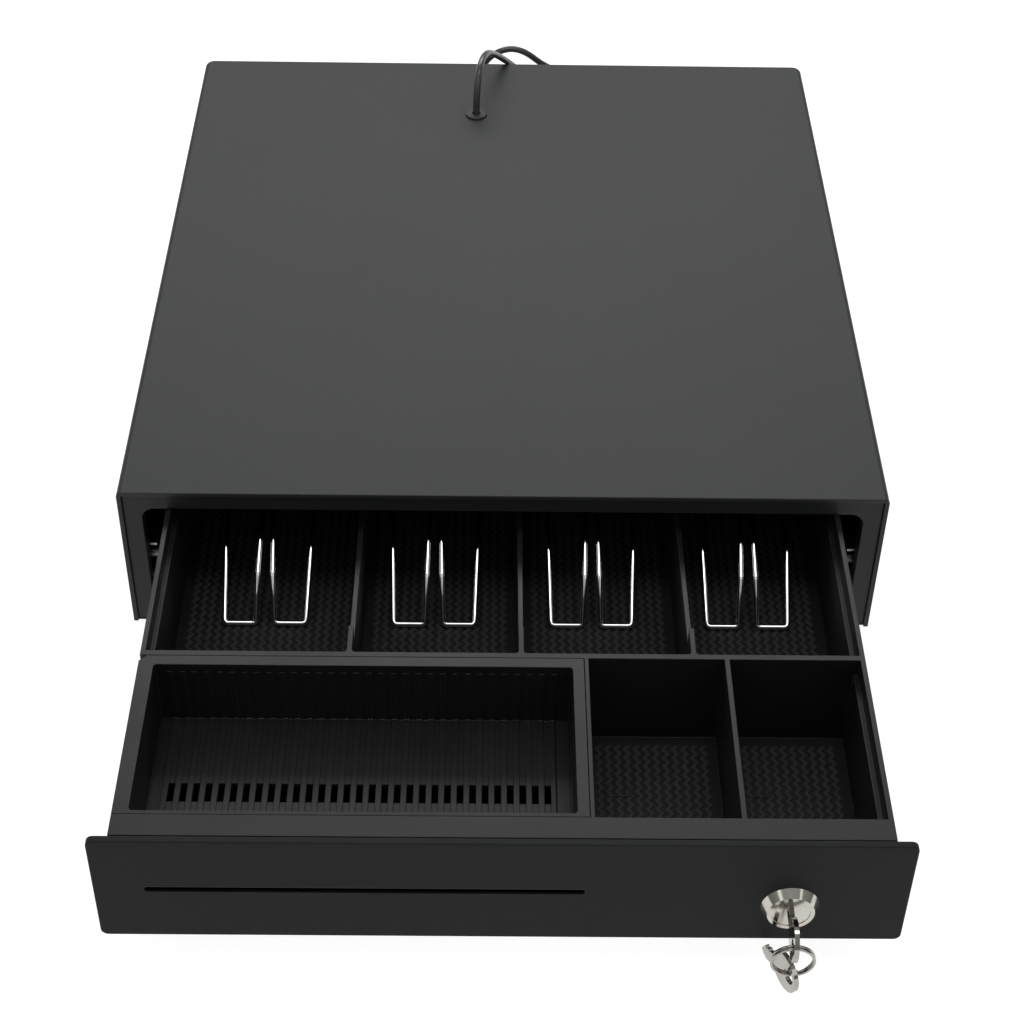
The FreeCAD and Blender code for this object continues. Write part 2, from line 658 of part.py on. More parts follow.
def clip_wire():
    """One note clip: a wire bent into two side-by-side loops, wound round its pivot at both ends."""
    low = CLIP_PIVOT_Z - CLIP_COIL_RADIUS
    half = CLIP_HALF_WIDTH
    inner = CLIP_INNER_GAP / 2 + CLIP_WIRE
    spread = CLIP_SPREAD
    # the outer leg lies lower than the inner one, which rises steeply off the bar
    right = [
        Vector(half + spread, CLIP_PIVOT_Y, low),
        Vector(half + spread * 0.4, CLIP_KNEE_Y, CLIP_OUTER_KNEE_Z),
        Vector(half, CLIP_BAR_Y, CLIP_BAR_Z),
        Vector(inner, CLIP_BAR_Y, CLIP_BAR_Z),
        Vector(inner - 0.9, CLIP_INNER_RISE_Y, CLIP_INNER_RISE_Z),
        Vector(inner - 1.4, CLIP_KNEE_Y, CLIP_INNER_KNEE_Z),
        Vector(inner - 1.6, CLIP_PIVOT_Y - 8, low + 1),
    ]
    left = [Vector(-point.x, point.y, point.z) for point in reversed(right)]
    wire = bent_wire(right + left, CLIP_WIRE, CLIP_BEND)
    coils = []
    for side in (-1, 1):
        start = (side * (half + spread - CLIP_WIRE * 0.6), CLIP_PIVOT_Y, CLIP_PIVOT_Z)
        coil = rod(start, (side, 0, 0), CLIP_COIL_RADIUS + CLIP_WIRE, CLIP_COIL_LENGTH)
        coils.append(coil)
    bore = rod((-half * 2, CLIP_PIVOT_Y, CLIP_PIVOT_Z), (1, 0, 0), CLIP_ROD + 0.08, half * 4)
    return joined([wire] + coils).cut(bore)


def clip_bracket():
    """A plate on the tray's rear wall with two ears that hold the clip's pivot rod."""
    rear = TRAY_REAR - TRAY_WALL
    outer = CLIP_EAR_X + CLIP_EAR_SHEET
    plate = block(-outer, outer, rear - CLIP_EAR_SHEET, rear, CLIP_PIVOT_Z - 8, CLIP_PIVOT_Z + 6)
    ears = []
    for side in (-1, 1):
        x0, x1 = sorted((side * CLIP_EAR_X, side * outer))
        ears.append(block(x0, x1, CLIP_PIVOT_Y - 4, rear, CLIP_PIVOT_Z - 5, CLIP_PIVOT_Z + 5))
    hole = rod((-40, CLIP_PIVOT_Y, CLIP_PIVOT_Z), (1, 0, 0), CLIP_ROD, 80)
    return joined([plate] + ears).cut(hole)


def clip_rod():
    reach = CLIP_EAR_X + 1.8
    return rod((-reach, CLIP_PIVOT_Y, CLIP_PIVOT_Z), (1, 0, 0), CLIP_ROD, reach * 2)


# ---------------------------------------------------------------- lock and keys


def lock_body():
    """The lock's stepped bezel and its threaded barrel, bored for the plug."""
    face = Vector(0, -BEZEL_DEPTH, 0)
    bezel = Part.makeCone(BEZEL_FACE_RADIUS, BEZEL_BASE_RADIUS, BEZEL_DEPTH, face, Vector(0, 1, 0))
    barrel = rod((0, 0, 0), (0, 1, 0), BARREL_RADIUS, BARREL_DEPTH)
    bore = rod((0, -BEZEL_DEPTH - 1, 0), (0, 1, 0), PLUG_RADIUS + 0.05, BARREL_DEPTH + BEZEL_DEPTH + 2)
    return moved(joined([bezel, barrel]).cut(bore), LOCK_X, 0, LOCK_Z)


def lock_nut():
    """A hexagon ring nut that clamps the lock to the drawer's front wall."""
    front = PANEL_SKIN + PAN_SHEET
    corners = []
    for index in range(6):
        angle = math.radians(60 * index)
        x = LOCK_X + NUT_RADIUS * math.cos(angle)
        corners.append(Vector(x, front, LOCK_Z + NUT_RADIUS * math.sin(angle)))
    nut = prism(corners, Vector(0, 3, 0))
    return nut.cut(rod((LOCK_X, 0, LOCK_Z), (0, 1, 0), BARREL_RADIUS, 10))


def lock_plug():
    """The turning core with its key slot and a squared end for the cam."""
    core = rod((0, -BEZEL_DEPTH + 0.25, 0), (0, 1, 0), PLUG_RADIUS, BARREL_DEPTH + BEZEL_DEPTH)
    tail = block(-3, 3, BARREL_DEPTH, BARREL_DEPTH + 1.9, -3, 3)
    half = KEY_THICKNESS / 2 + 0.1
    height = KEY_BLADE_HEIGHT / 2 + 0.1
    slot = block(-half, half, -BEZEL_DEPTH - 1, KEY_TIP + 0.3, -height, height)
    screw_hole = rod((0, BARREL_DEPTH - 7, 0), (0, 1, 0), 1.5, 20)
    return moved(joined([core, tail]).cut(slot).cut(screw_hole), LOCK_X, 0, LOCK_Z)


def lock_cam():
    """The flat cam on the plug's rear end."""
    disc = rod((0, CAM_FRONT, 0), (0, 1, 0), 6, CAM_THICKNESS)
    arm = block(-4, 4, CAM_FRONT, CAM_FRONT + CAM_THICKNESS, -15, 0)
    square = block(-3.02, 3.02, CAM_FRONT - 1, CAM_FRONT + 5, -3.02, 3.02)
    return moved(joined([disc, arm]).cut(square), LOCK_X, 0, LOCK_Z)


def cam_screw():
    head = rod((0, BARREL_DEPTH + 2.0, 0), (0, 1, 0), 4.2, 1.8)
    shank = rod((0, BARREL_DEPTH - 6, 0), (0, 1, 0), 1.45, 8.5)
    slot = block(-0.5, 0.5, BARREL_DEPTH + 3.0, BARREL_DEPTH + 5, -5, 5)
    return moved(joined([head, shank]).cut(slot), LOCK_X, 0, LOCK_Z)


def flat_key(blade):
    """A key lying in the plane x = 0 with its hole at the origin and its blade along +y."""
    half = KEY_THICKNESS / 2
    bow = rod((-half, KEY_HOLE_OFFSET, 0), (1, 0, 0), KEY_BOW_RADIUS, KEY_THICKNESS)
    height = KEY_BLADE_HEIGHT / 2
    tip = blade - height * 0.8
    outline = [
        Vector(-half, KEY_HOLE_OFFSET, -height), Vector(-half, tip, -height), Vector(-half, blade, -0.6),
        Vector(-half, blade, 0.6), Vector(-half, tip, height), Vector(-half, KEY_HOLE_OFFSET, height),
    ]
    shank = prism(outline, Vector(KEY_THICKNESS, 0, 0))
    key = joined([bow, shank]).cut(rod((-half - 1, 0, 0), (1, 0, 0), KEY_HOLE_RADIUS, KEY_THICKNESS + 2))
    for number in range(KEY_NOTCHES):
        y = tip - KEY_NOTCH_PITCH * (number + 0.5)
        notch = [
            Vector(-half - 1, y - 0.9, height + 0.1), Vector(-half - 1, y, height - KEY_NOTCH_DEPTH),
            Vector(-half - 1, y + 0.9, height + 0.1),
        ]
        key = key.cut(prism(notch, Vector(KEY_THICKNESS + 2, 0, 0)))
    return key


def key_hole_y():
    return -BEZEL_DEPTH - KEY_BOW_REACH - KEY_HOLE_OFFSET


def key_in_lock():
    return moved(flat_key(KEY_TIP - key_hole_y()), LOCK_X, key_hole_y(), LOCK_Z)


def ring_centre_z():
    return LOCK_Z - RING_DROP - RING_RADIUS


def key_ring():
    """A split ring of two flat turns, hanging upright through both keys' holes."""
    outer = RING_RADIUS + RING_HALF_THICKNESS
    inner = RING_RADIUS - RING_HALF_THICKNESS
    ring = rod((0, -RING_HALF_DEPTH, 0), (0, 1, 0), outer, RING_HALF_DEPTH * 2)
    ring = ring.cut(rod((0, -RING_HALF_DEPTH - 1, 0), (0, 1, 0), inner, RING_HALF_DEPTH * 2 + 2))
    return moved(ring, LOCK_X, key_hole_y(), ring_centre_z())


def spare_key():
    """The second key, hanging from the ring with its blade lying back towards the drawer."""
    key = flat_key(SPARE_BLADE)
    key = turned(key, (0, 0, 0), (1, 0, 0), -SPARE_DIP)
    key = turned(key, (0, 0, 0), (0, 0, 1), SPARE_SWING)
    return moved(key, LOCK_X, key_hole_y(), ring_centre_z() - RING_RADIUS - SPARE_HANG)


# ---------------------------------------------------------------- latch, ejector and switch


def solenoid_bracket():
    """A bent frame for the solenoid whose foot runs on under the latch."""
    foot = block(-62, 16, 306, 354, BASE_TOP, BASE_TOP + 1.5)
    cheeks = [block(x, x + 1.5, 327, 353, BASE_TOP + 1.5, 35) for x in (-62, -23.5)]
    hole = rod((-80, LATCH_Y + LATCH_ARM, LATCH_Z), (1, 0, 0), PLUNGER_RADIUS + 0.4, 100)
    return joined([foot] + cheeks).cut(hole)


def solenoid_coil():
    """The winding on its bobbin, with the bore for the plunger."""
    y = LATCH_Y + LATCH_ARM
    winding = rod((COIL_LEFT + 1.5, y, LATCH_Z), (1, 0, 0), 11.5, COIL_RIGHT - COIL_LEFT - 3)
    ends = [rod((x, y, LATCH_Z), (1, 0, 0), 12.5, 1.5) for x in (COIL_LEFT, COIL_RIGHT - 1.5)]
    bore = rod((COIL_LEFT - 1, y, LATCH_Z), (1, 0, 0), PLUNGER_RADIUS + 0.05, 60)
    return joined([winding] + ends).cut(bore)


def solenoid_plunger():
    """The iron plunger, slotted at its end for the latch lever and crossed by a small pin."""
    y = LATCH_Y + LATCH_ARM
    body = rod((-52, y, LATCH_Z), (1, 0, 0), PLUNGER_RADIUS, 52 + LATCH_X + 5)
    gap = LATCH_THICKNESS / 2 + 0.4
    slot = block(LATCH_X - 7, LATCH_X + 10, y - 10, y + 10, LATCH_Z - gap, LATCH_Z + gap)
    pin = rod((LATCH_X, y, LATCH_Z - 3), (0, 0, 1), 1.5, 6)
    return joined([body.cut(slot), pin])


def latch_lever():
    """The flat latch: a hub on the pivot pin, a hooked front arm and a slotted rear arm."""
    low = LATCH_Z - LATCH_THICKNESS / 2
    half = LATCH_ARM_WIDTH / 2
    hook = [
        Vector(LATCH_X + half, HOOK_FRONT, low), Vector(LATCH_X + half, LATCH_Y, low),
        Vector(LATCH_X - half, LATCH_Y, low), Vector(LATCH_X - half, HOOK_REAR, low),
        Vector(HOOK_TIP_X, HOOK_REAR, low), Vector(HOOK_TIP_X, HOOK_REAR - 2, low),
        Vector(LATCH_X - half - 6, HOOK_FRONT, low),
    ]
    front_arm = prism(hook, Vector(0, 0, LATCH_THICKNESS))
    rear = LATCH_Y + LATCH_ARM + 3.6
    rear_arm = block(LATCH_X - half, LATCH_X + half, LATCH_Y, rear, low, low + LATCH_THICKNESS)
    hub = rod((LATCH_X, LATCH_Y, low - 2), (0, 0, 1), 6, LATCH_THICKNESS + 4)
    lever = joined([front_arm, rear_arm, hub])
    pivot = rod((LATCH_X, LATCH_Y, 0), (0, 0, 1), LATCH_PIN_RADIUS + 0.05, 40)
    slot = block(LATCH_X - 1.8, LATCH_X + 1.8, LATCH_Y + LATCH_ARM - 2.6, LATCH_Y + LATCH_ARM + 5, 0, 40)
    return lever.cut(pivot).cut(slot)


def latch_pin():
    """The pivot pin, riveted to the bracket, with a shoulder under the lever."""
    low = BASE_TOP + 1.5
    shoulder = rod((LATCH_X, LATCH_Y, low), (0, 0, 1), 3.6, LATCH_Z - 3.3 - low)
    pin = rod((LATCH_X, LATCH_Y, low), (0, 0, 1), LATCH_PIN_RADIUS, LATCH_Z + 4.6 - low)
    head = rod((LATCH_X, LATCH_Y, LATCH_Z + 3.3), (0, 0, 1), 4, 1.3)
    return joined([shoulder, pin, head])


def latch_spring():
    """A torsion spring wound round the pin's shoulder."""
    return coil_spring((LATCH_X, LATCH_Y, BASE_TOP + 2.4), (0, 0, 1), 4.6, 0.5, 10.5, 7)


def ejector_tube():
    """The tube on a foot that guides the pusher and its spring."""
    outer = rod((EJECTOR_X, 300, EJECTOR_Z), (0, 1, 0), 8, 66)
    foot = block(EJECTOR_X - 5, EJECTOR_X + 5, 304, 362, BASE_TOP, EJECTOR_Z)
    hollow = rod((EJECTOR_X, 302, EJECTOR_Z), (0, 1, 0), 6.8, 62)
    mouth = rod((EJECTOR_X, 299, EJECTOR_Z), (0, 1, 0), 4.08, 5)
    return joined([outer, foot]).cut(hollow).cut(mouth)


def ejector_pusher():
    """The plunger that pushes the drawer open, with a soft domed head."""
    shaft = rod((EJECTOR_X, 276, EJECTOR_Z), (0, 1, 0), 4, 54)
    piston = rod((EJECTOR_X, 324, EJECTOR_Z), (0, 1, 0), 6.7, 8)
    head = rod((EJECTOR_X, 271, EJECTOR_Z), (0, 1, 0), 6, 6)
    head = head.makeFillet(2, [e for e in head.Edges if e.BoundBox.YMax < 271.01 and e.BoundBox.XLength > 2])
    return joined([shaft, piston, head])


def ejector_spring():
    return coil_spring((EJECTOR_X, 333, EJECTOR_Z), (0, 1, 0), 5.4, 0.7, 30, 8)


def switch_bracket():
    plate = block(SWITCH_X - 1.2, SWITCH_X, 282, 306, BASE_TOP, 36)
    foot = block(SWITCH_X - 12, SWITCH_X, 282, 306, BASE_TOP, BASE_TOP + 1.2)
    return joined([plate, foot])


def switch_body():
    """A small snap switch with three terminals behind."""
    body = block(SWITCH_X, SWITCH_X + 6.4, 286, 296, 14, 34)
    terminals = [block(SWITCH_X + 2.6, SWITCH_X + 3.2, 296, 302, z, z + 3) for z in (15.5, 22.5, 29.5)]
    ears = [rod((SWITCH_X + 1.4, SWITCH_PIVOT_Y, SWITCH_PIVOT_Z), (1, 0, 0), 0.8, 3.6)]
    stand = [block(SWITCH_X + x, SWITCH_X + x + 1.2, 283.4, 286, 14.2, 17.2) for x in (0.2, 5.0)]
    return joined([body] + terminals + stand + ears)


def switch_lever():
    """The switch's thin leaf, hinged low on its front and leaning towards the drawer."""
    rear = SWITCH_PIVOT_Y - 0.3
    leaf = block(SWITCH_X + 1.8, SWITCH_X + 4.6, rear - 0.6, rear, SWITCH_PIVOT_Z + 1, 36)
    knuckle = rod((SWITCH_X + 1.8, SWITCH_PIVOT_Y, SWITCH_PIVOT_Z), (1, 0, 0), 1.3, 2.8)
    leaf = joined([leaf, knuckle]).cut(rod((SWITCH_X, SWITCH_PIVOT_Y, SWITCH_PIVOT_Z), (1, 0, 0), 0.85, 8))
    return turned(leaf, (SWITCH_X, SWITCH_PIVOT_Y, SWITCH_PIVOT_Z), (1, 0, 0), 26)


# ---------------------------------------------------------------- cable


def cable_grommet():
    """A rubber bush in the top that the cable rises through."""
    flange = rod((0, 0, HOUSING_TOP), (0, 0, 1), 5.75, 1.2)
    neck = rod((0, 0, HOUSING_TOP - SHEET), (0, 0, 1), GROMMET_NECK, SHEET)
    lower = rod((0, 0, HOUSING_TOP - SHEET - 1.2), (0, 0, 1), 6.2, 1.2)
    flange = flange.makeFillet(0.5, [e for e in flange.Edges if e.BoundBox.ZMin > HOUSING_TOP + 1])
    bore = rod((0, 0, HOUSING_TOP - 5), (0, 0, 1), GROMMET_BORE, 10)
    return moved(joined([flange, neck, lower]).cut(bore), GROMMET_X, GROMMET_Y)


def cable():
    """The free cable from the grommet over the rear edge and down to the coil."""
    path = rounded_path(CABLE_ROUTE, widest_bend)
    radii = [edge.Curve.Radius for edge in path.Edges if edge.Curve.TypeId == "Part::GeomCircle"]
    print("cable bend radii:", [round(radius, 1) for radius in radii])
    print("free cable length:", round(path.Length))
    whole = tube(path, CORD_DIAMETER / 2)
    section = math.pi * (CORD_DIAMETER / 2) ** 2
    print("volume over section times length:", round(whole.Volume / (path.Length * section), 3))
    return whole.cut(cable_coil())


def cable_coil():
    """The put-away length: a neat round coil, drawn as the ring it fills."""
    outer = COIL_RADIUS + COIL_HALF_SECTION
    inner = COIL_RADIUS - COIL_HALF_SECTION
    flat = rod((COIL_X, COIL_Y, 0.2), (0, 0, 1), outer, COIL_HALF_SECTION * 2)
    flat = flat.cut(rod((COIL_X, COIL_Y, 0), (0, 0, 1), inner, 20))
    rims = [e for e in flat.Edges if e.Curve.TypeId == "Part::GeomCircle"]
    return flat.makeFillet(1.8, rims)


def cable_tie():
    """A hook-and-loop strap wrapped round the coil's section."""
    x = COIL_X
    y0 = COIL_Y + COIL_RADIUS - COIL_HALF_SECTION - 1
    y1 = COIL_Y + COIL_RADIUS + COIL_HALF_SECTION + 1
    strap = rounded_plate(x - 4, x + 4, y0, y1, 0, COIL_HALF_SECTION * 2 + 1.2, 2.2, Vector(1, 0, 0))
    return strap.cut(cable_coil())


def cable_tail():
    """The last straight bit of cable from the coil to its plug."""
    tail = rod((COIL_X, COIL_Y - COIL_RADIUS, 2.4), (1, 0, 0), CORD_DIAMETER / 2, 32)
    return tail.cut(cable_coil())


def cable_plug():
    """A six-way modular plug with its release tab."""
    x0 = COIL_X + 32
    y = COIL_Y - COIL_RADIUS
    body = block(x0, x0 + 12, y - 4.8, y + 4.8, 0.2, 6.8)
    outline = [(11, 6.8), (9, 6.8), (-3, 10), (-3, 11)]
    tab = prism([Vector(x0 + x, y - 3, z) for x, z in outline], Vector(0, 6, 0))
    return joined([body, tab])


def internal_lead():
    """The cable's end inside the housing, from the grommet down to the solenoid."""
    route = [
        Vector(GROMMET_X, GROMMET_Y, CABLE_START_Z),
        Vector(GROMMET_X, GROMMET_Y, 58),
        Vector(-22, 326, 46),
        Vector(-38, 338, 44),
        Vector(-42, 340, LATCH_Z),
    ]
    return tube(rounded_path(route, widest_bend), CORD_DIAMETER / 2).cut(solenoid_coil().fuse(coil_core()))


def coil_core():
    """The space inside the winding, where the lead's end is soldered."""
    return rod((COIL_LEFT, LATCH_Y + LATCH_ARM, LATCH_Z), (1, 0, 0), 11, COIL_RIGHT - COIL_LEFT)


# ---------------------------------------------------------------- export


def housing_nodes():
    runner = left_runner()
    front_roller = roller(FRONT_ROLLER_INNER_X, FRONT_ROLLER_OUTER_X, FRONT_ROLLER_Y)
    return {
        "housing_cover": screw_clearance(housing_cover()),
        "front_frame": front_frame(),
        "base_pan": screw_clearance(base_pan()),
        "rubber_feet": rubber_feet(),
        "cover_screws": cover_screws(),
        "left_runner": runner,
        "right_runner": both_sides(runner),
        "front_roller_studs": group([front_stud(), both_sides(front_stud())]),
        "left_front_roller": front_roller,
        "right_front_roller": both_sides(front_roller),
        "solenoid_bracket": solenoid_bracket(),
        "solenoid_coil": solenoid_coil(),
        "solenoid_plunger": solenoid_plunger(),
        "latch_lever": latch_lever(),
        "latch_pin": latch_pin(),
        "latch_spring": latch_spring(),
        "ejector_tube": ejector_tube(),
        "ejector_pusher": ejector_pusher(),
        "ejector_spring": ejector_spring(),
        "switch_bracket": switch_bracket(),
        "switch_body": switch_body(),
        "switch_lever": switch_lever(),
        "internal_lead": internal_lead(),
        "cable_grommet": cable_grommet(),
        "cable": cable(),
        "cable_coil": cable_coil(),
        "cable_tie": cable_tie(),
        "cable_tail": cable_tail(),
        "cable_plug": cable_plug(),
    }


def drawer_nodes():
    rail = left_drawer_rail()
    rear_roller = roller(REAR_ROLLER_INNER_X, REAR_ROLLER_OUTER_X, REAR_ROLLER_Y)
    nodes = {
        "drawer_pan": drawer_pan(),
        "front_panel": front_panel(),
        "panel_nuts": panel_nuts(),
        "left_drawer_rail": rail,
        "right_drawer_rail": both_sides(rail),
        "rear_roller_studs": group([rear_stud(), both_sides(rear_stud())]),
        "left_rear_roller": rear_roller,
        "right_rear_roller": both_sides(rear_roller),
        "drawer_strike": drawer_strike(),
        "till_tray": till_tray(),
        "coin_box": coin_box(),
        "clip_brackets": group([moved(clip_bracket(), x) for x in CLIP_X]),
        "clip_rods": group([moved(clip_rod(), x) for x in CLIP_X]),
        "lock_body": lock_body(),
        "lock_nut": lock_nut(),
        "lock_plug": lock_plug(),
        "lock_cam": lock_cam(),
        "cam_screw": cam_screw(),
        "key_1": key_in_lock(),
        "key_ring": key_ring(),
        "key_2": spare_key(),
    }
    for number, x in enumerate(CLIP_X, start=1):
        nodes[f"note_clip_{number}"] = moved(clip_wire(), x)
    return nodes


def main():
    os.makedirs("parts", exist_ok=True)
    placed = {name: moved(shape, 0, -ORIGIN_Y) for name, shape in housing_nodes().items()}
    for name, shape in drawer_nodes().items():
        placed[name] = moved(shape, 0, -ORIGIN_Y - REST_OPENING)
    for name, shape in placed.items():
        if not shape.isValid():
            print("invalid shape:", name)
        shape.exportStep(f"parts/{name}.step")
    print("nodes:", len(placed), "origin behind the housing's front edge:", ORIGIN_Y)


main()
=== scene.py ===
import json
import math

import bmesh
import bpy
from mathutils import Matrix, Vector


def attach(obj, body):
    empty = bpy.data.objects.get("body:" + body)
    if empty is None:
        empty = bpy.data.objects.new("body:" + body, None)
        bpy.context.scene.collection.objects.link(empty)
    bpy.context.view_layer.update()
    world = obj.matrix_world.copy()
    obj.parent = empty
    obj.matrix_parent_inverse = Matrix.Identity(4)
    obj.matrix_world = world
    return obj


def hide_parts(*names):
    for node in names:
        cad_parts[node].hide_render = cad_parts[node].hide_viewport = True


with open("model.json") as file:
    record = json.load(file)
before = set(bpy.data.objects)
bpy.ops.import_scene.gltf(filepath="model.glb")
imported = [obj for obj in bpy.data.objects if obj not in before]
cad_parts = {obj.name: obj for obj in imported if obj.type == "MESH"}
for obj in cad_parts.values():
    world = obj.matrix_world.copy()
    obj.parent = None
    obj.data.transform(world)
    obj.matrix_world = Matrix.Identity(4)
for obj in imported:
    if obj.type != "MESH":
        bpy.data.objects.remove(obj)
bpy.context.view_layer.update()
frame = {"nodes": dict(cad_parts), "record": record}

MM = 0.001

# The housing's front edge stands this far in front of the row's origin, and the drawer is out this far,
# both in millimetres. The floor's size is in metres.
HOUSING_FRONT = -82.425
DRAWER_OUT = 182.5
PANEL_FACE = HOUSING_FRONT - DRAWER_OUT
FLOOR_SIZE = 12.0

# Tray sizes in millimetres, as in the CAD model
TRAY_FLOOR = 23.0
BOX_FLOOR = 38.0
BOX_INSIDE = (-140.6, 28.0, 14.9, 90.7)
COIN_SLOTS = 31
COIN_SLOT_PITCH = 5.0
COIN_SLOT_WIDTH = 2.6
COIN_SLOTS_LEFT = -133.2
COIN_SLOT_REAR = 55.7


def housing(x, y, z):
    """A point of the housing, from millimetres behind its front edge to metres in the row frame."""
    return Vector((x, y + HOUSING_FRONT, z)) * MM


def drawer(x, y, z):
    """A point of the drawer, from millimetres behind its panel's face to metres in the row frame."""
    return Vector((x, y + PANEL_FACE, z)) * MM


# ---------------------------------------------------------------- camera


CAMERA_PLACE = (-7.0, -673.8, 675.2)
CAMERA_PITCH = 41.857
CAMERA_YAW = 0.91
CAMERA_ROLL = 1.122
CAMERA_LENS = 73.15


def make_camera():
    """The photographer's place: high in front, looking down at the open drawer."""
    pitch = math.radians(CAMERA_PITCH)
    yaw = math.radians(CAMERA_YAW)
    roll = math.radians(CAMERA_ROLL)
    ahead = Vector((math.sin(yaw) * math.cos(pitch), math.cos(yaw) * math.cos(pitch), -math.sin(pitch)))
    level = Vector((math.cos(yaw), -math.sin(yaw), 0))
    upright = level.cross(ahead)
    right = level * math.cos(roll) + upright * math.sin(roll)
    up = right.cross(ahead)
    camera = bpy.data.objects.new("camera", bpy.data.cameras.new("camera"))
    turn = Matrix((right, up, -ahead)).transposed().to_4x4()
    camera.matrix_world = Matrix.Translation(housing(*CAMERA_PLACE)) @ turn
    camera.data.lens = CAMERA_LENS
    camera.data.sensor_width = 36.0
    camera.data.clip_start = 0.02
    bpy.context.scene.collection.objects.link(camera)
    bpy.context.scene.camera = camera


# ---------------------------------------------------------------- materials


class Nodes:
    """A short way to build a node material."""

    def __init__(self, name):
        self.material = bpy.data.materials.new(name)
        self.material.use_nodes = True
        self.tree = self.material.node_tree
        self.shader = self.tree.nodes["Principled BSDF"]

    def add(self, kind, **values):
        node = self.tree.nodes.new(kind)
        for key, value in values.items():
            if key in node.inputs.keys():
                node.inputs[key].default_value = value
            else:
                setattr(node, key, value)
        return node

    def link(self, source, output, target, socket):
        self.tree.links.new(source.outputs[output], target.inputs[socket])

    def coordinates(self):
        return self.add("ShaderNodeTexCoord")

    def noise(self, scale, detail=3.0, roughness=0.55):
        """Noise in the object's own metres."""
        noise = self.add("ShaderNodeTexNoise", Scale=scale, Detail=detail, Roughness=roughness)
        self.link(self.coordinates(), "Object", noise, "Vector")
        return noise

    def ramp(self, source, output, low, high, first, last):
        """A two-colour ramp between two values of the source."""
        ramp = self.add("ShaderNodeValToRGB")
        ramp.color_ramp.elements[0].position = low
        ramp.color_ramp.elements[0].color = first
        ramp.color_ramp.elements[1].position = high
        ramp.color_ramp.elements[1].color = last
        self.link(source, output, ramp, "Fac")
        return ramp

    def spread(self, source, output, low, high):
        """The source's 0..1 spread out between two values."""
        spread = self.add("ShaderNodeMapRange")
        spread.inputs["To Min"].default_value = low
        spread.inputs["To Max"].default_value = high
        self.link(source, output, spread, "Value")
        return spread

    def bump(self, source, output, height, before=None):
        """Bump of a height in metres."""
        bump = self.add("ShaderNodeBump", Strength=1.0, Distance=height)
        self.link(source, output, bump, "Height")
        if before is not None:
            self.link(before, "Normal", bump, "Normal")
        return bump

    def math(self, operation, first, second=None):
        """A math node over sockets or plain numbers."""
        node = self.add("ShaderNodeMath", operation=operation)
        for index, value in enumerate((first, second)):
            if isinstance(value, bpy.types.NodeSocket):
                self.tree.links.new(value, node.inputs[index])
            elif value is not None:
                node.inputs[index].default_value = value
        return node.outputs[0]


def grey(level, warm=0.0):
    """A grey; a positive warm leans to yellow and a negative one to blue."""
    return (level * (1 + warm), level, level * (1 - warm), 1.0)


def rounded_edges(nodes, radius):
    """Normals that turn smoothly round every sharp edge."""
    edges = nodes.add("ShaderNodeBevel", samples=6)
    edges.inputs["Radius"].default_value = radius
    return edges


def painted_edge_highlight(nodes, edges, highlight_colour, base):
    """Mixes a lighter colour in along sharp edges, in noisy patches: a painted highlight where the edges
    catch the light.
    """
    geometry = nodes.add("ShaderNodeNewGeometry")
    dot = nodes.add("ShaderNodeVectorMath", operation="DOT_PRODUCT")
    nodes.link(edges, "Normal", dot, 0)
    nodes.link(geometry, "Normal", dot, 1)
    edge_highlight = nodes.math("SUBTRACT", 1.0, dot.outputs["Value"])
    edge_highlight = nodes.math("MULTIPLY", edge_highlight, 3.0)
    patches = nodes.noise(60.0)
    edge_highlight = nodes.math("MULTIPLY", edge_highlight, patches.outputs["Fac"])
    mix = nodes.add("ShaderNodeMix", data_type="RGBA")
    nodes.tree.links.new(edge_highlight, mix.inputs["Factor"])
    nodes.tree.links.new(base.outputs["Color"], mix.inputs[6])
    mix.inputs[7].default_value = highlight_colour
    return mix


def powder_coat(name, level, specular=0.28, edge_highlight=2.2):
    """Matt powder coat: an even, slightly blue dark grey with fine pebbles and a painted highlight along its
    edges.
    """
    nodes = Nodes(name)
    blueness = -0.05
    cloud = nodes.noise(9.0, detail=4.0)
    base = nodes.ramp(cloud, "Fac", 0.3, 0.7, grey(level * 0.94, blueness), grey(level * 1.06, blueness))
    edges = rounded_edges(nodes, 0.0007)
    # Painted highlight: a lighter grey mixed in along the coat's edges.
    highlighted_coat = painted_edge_highlight(nodes, edges, grey(level * edge_highlight), base)
    nodes.tree.links.new(highlighted_coat.outputs[2], nodes.shader.inputs["Base Color"])
    grain = nodes.noise(1500.0, detail=2.0)
    pebbles = nodes.noise(420.0, detail=2.0)
    fine = nodes.bump(grain, "Fac", 0.000035, before=edges)
    coarse = nodes.bump(pebbles, "Fac", 0.00005, before=fine)
    nodes.link(coarse, "Normal", nodes.shader, "Normal")
    nodes.link(nodes.spread(grain, "Fac", 0.44, 0.6), "Result", nodes.shader, "Roughness")
    nodes.shader.inputs["Specular IOR Level"].default_value = specular
    return nodes.material


def moulded_plastic(name, level, rough=0.42, edge_highlight=2.5, specular=0.5):
    """Injection-moulded plastic with a soft sheen, flow marks, a light spark texture and a painted highlight
    along its edges.
    """
    nodes = Nodes(name)
    whitest_highlight = 0.8
    cloud = nodes.noise(14.0, detail=4.0)
    base = nodes.ramp(cloud, "Fac", 0.3, 0.7, grey(level * 0.85), grey(level * 1.15))
    edges = rounded_edges(nodes, 0.0005)
    # Painted highlight: a lighter grey mixed in along the plastic's edges, capped at a pale grey.
    highlighted_plastic = painted_edge_highlight(nodes, edges, grey(min(level * edge_highlight, whitest_highlight)), base)
    nodes.tree.links.new(highlighted_plastic.outputs[2], nodes.shader.inputs["Base Color"])
    grain = nodes.noise(1100.0, detail=2.0)
    nodes.link(nodes.bump(grain, "Fac", 0.00003, before=edges), "Normal", nodes.shader, "Normal")
    smears = nodes.noise(35.0, detail=5.0)
    nodes.link(nodes.spread(smears, "Fac", rough - 0.08, rough + 0.12), "Result", nodes.shader, "Roughness")
    nodes.shader.inputs["Specular IOR Level"].default_value = specular
    return nodes.material


